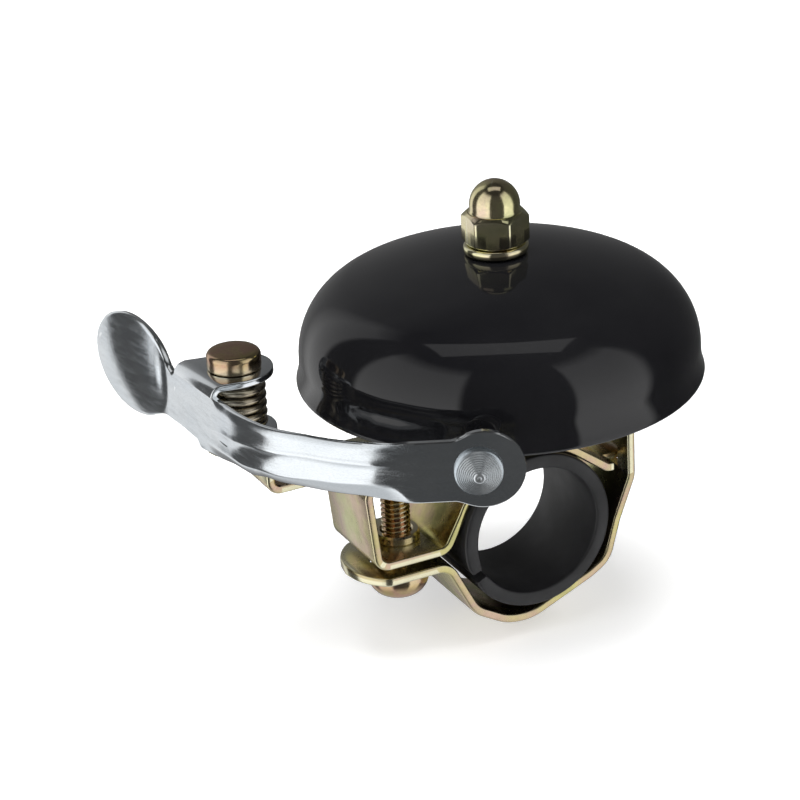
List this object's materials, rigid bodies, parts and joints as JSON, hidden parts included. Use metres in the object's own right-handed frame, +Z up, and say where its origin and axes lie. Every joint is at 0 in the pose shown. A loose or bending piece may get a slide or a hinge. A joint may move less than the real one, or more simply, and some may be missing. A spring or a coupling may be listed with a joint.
{
  "type": "bicycle bell",
  "caption": "Lever-struck bicycle bell: black steel dome on a plated handlebar clamp, with a sprung thumb lever that throws a hammer at the rim.",
  "frame": {"origin": "centre of the handlebar bore, halfway along the clamp", "axes": "+Y along the handlebar, +Z up through the dome's post, +X away from the thumb lever"},
  "size_m": [0.0733, 0.0635, 0.0625],
  "materials": {
    "black_enamel": "gloss",
    "yellow_zinc_nut": "passivated zinc, polished",
    "yellow_zinc_strip": "passivated zinc, satin",
    "yellow_zinc_screw": "passivated zinc, pinkish",
    "bright_zinc": "bright zinc, rolled sheet",
    "bright_zinc_turned": "bright zinc, turned",
    "spring_steel": "oil-tempered",
    "plain_steel": "satin",
    "fibre": "matte",
    "rubber": "matte"
  },
  "bodies": {
    "base": {"dome": "black_enamel", "cap_nut": "yellow_zinc_nut", "top_washer": "yellow_zinc_nut", "under_washer": "fibre", "dome_post": "yellow_zinc_strip", "dome_stud": "plain_steel", "stud_nut": "yellow_zinc_nut", "lever_bracket": "yellow_zinc_strip", "clamp_saddle": "yellow_zinc_strip", "clamp_liner": "rubber", "clamp_nut": "yellow_zinc_nut", "pivot_pin": "yellow_zinc_screw", "pivot_washer": "plain_steel", "pivot_bush": "plain_steel"},
    "lever": {"striker_lever": "bright_zinc", "hammer": "bright_zinc_turned", "hammer_collar": "bright_zinc_turned", "torsion_spring": "spring_steel"},
    "strap": {"clamp_strap": "yellow_zinc_strip"},
    "screw": {"clamp_screw": "yellow_zinc_screw"}
  },
  "joints": [
    {"name": "lever_swing", "type": "hinge", "parent": "base", "child": "lever", "pos_m": [-0.0373, 0.0057, 0.02355], "axis": [0, 0, -1], "range_deg": [-1.8, 25], "stiffness_Nm_per_rad": 0.12},
    {"name": "screw_travel", "type": "slide", "parent": "base", "child": "screw", "axis": [0, 0, -1], "range_m": [0, 0.0062]},
    {"name": "strap_swing", "type": "hinge", "parent": "base", "child": "strap", "pos_m": [0.01545, 0, 0.006], "axis": [0, -1, 0], "range_deg": [0, 9.2]}
  ],
  "couplings": [
    {"joint": "strap_swing", "follows": "screw_travel", "rad_per_m": 25.335}
  ]
}
